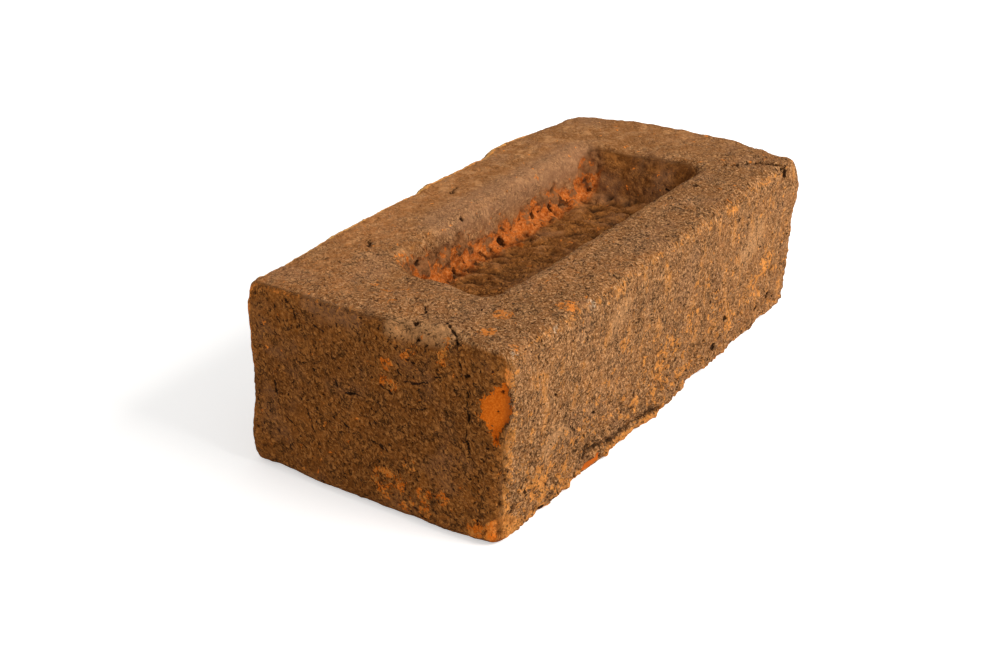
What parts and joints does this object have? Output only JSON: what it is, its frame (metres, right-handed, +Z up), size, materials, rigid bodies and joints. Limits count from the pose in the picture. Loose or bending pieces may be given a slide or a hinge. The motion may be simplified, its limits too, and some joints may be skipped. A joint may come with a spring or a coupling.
{
  "type": "handmade brick",
  "caption": "Fired clay brick, moulded by hand, with rounded worn edges and a deep frog with sloping walls in its top.",
  "frame": {"origin": "middle of the bed, on the surface that the brick rests on", "axes": "+X along the long faces, +Y across them, +Z up from the bed to the frogged top"},
  "size_m": [0.2148, 0.1023, 0.065],
  "materials": {
    "fired_clay": "rough unglazed fired clay, brown with orange patches, creased and pitted by hand moulding"
  },
  "bodies": {
    "root": {"brick": "fired_clay"}
  },
  "joints": []
}
